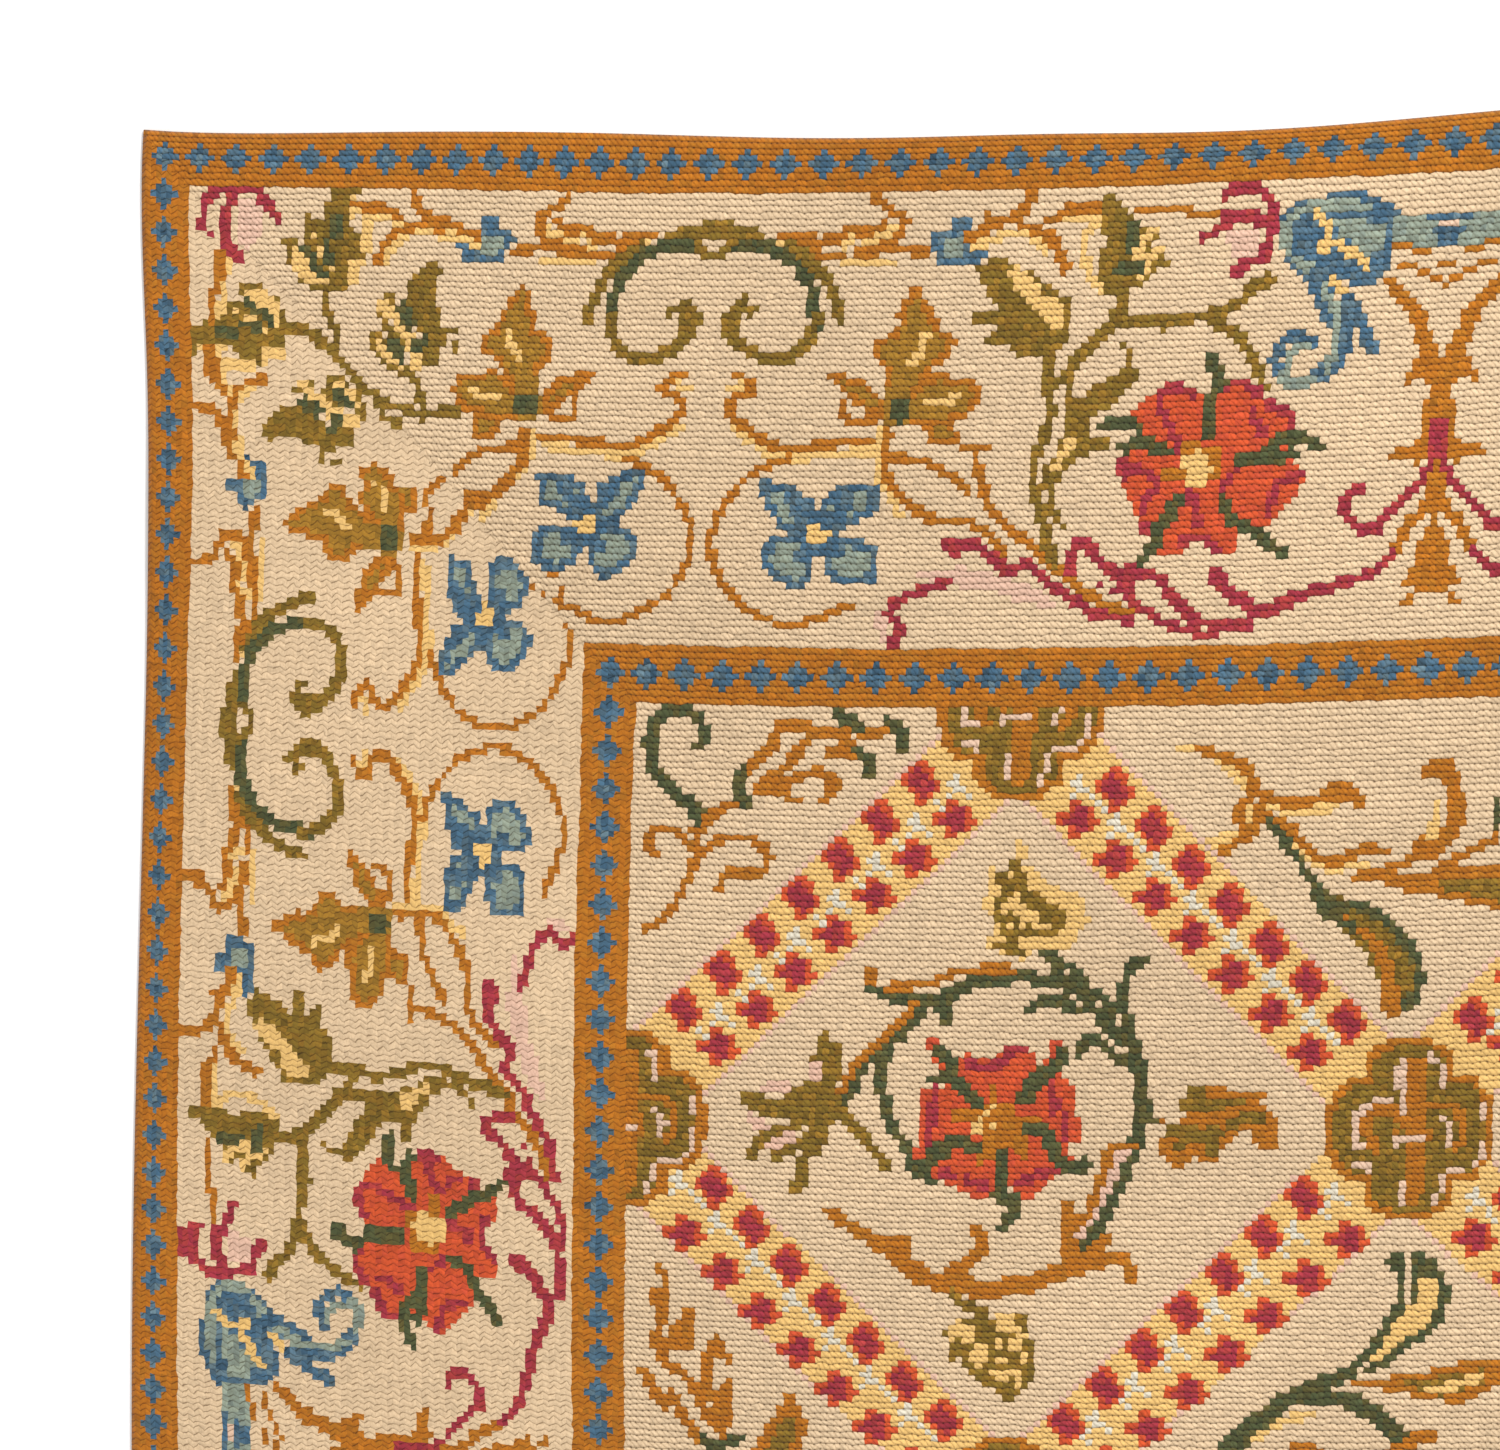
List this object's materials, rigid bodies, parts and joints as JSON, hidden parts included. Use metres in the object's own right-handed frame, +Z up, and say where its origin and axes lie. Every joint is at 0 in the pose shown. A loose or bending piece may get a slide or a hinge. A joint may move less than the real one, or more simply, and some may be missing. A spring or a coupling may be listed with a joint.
{
  "type": "needlepoint rug",
  "caption": "Flat hand-worked wool needlepoint rug on canvas, with guard bands, a floral border and a lattice field.",
  "frame": {"origin": "on the floor, under the middle of the rug's box", "axes": "+Z up out of the worked face, +Y along the rug towards the end that is at the top of the picture, +X across the rug to the right"},
  "size_m": [1.8068, 2.483, 0.0088],
  "materials": {
    "wool": "matte wool cross stitch"
  },
  "bodies": {
    "root": {"needlework_rug": "wool"}
  },
  "joints": []
}
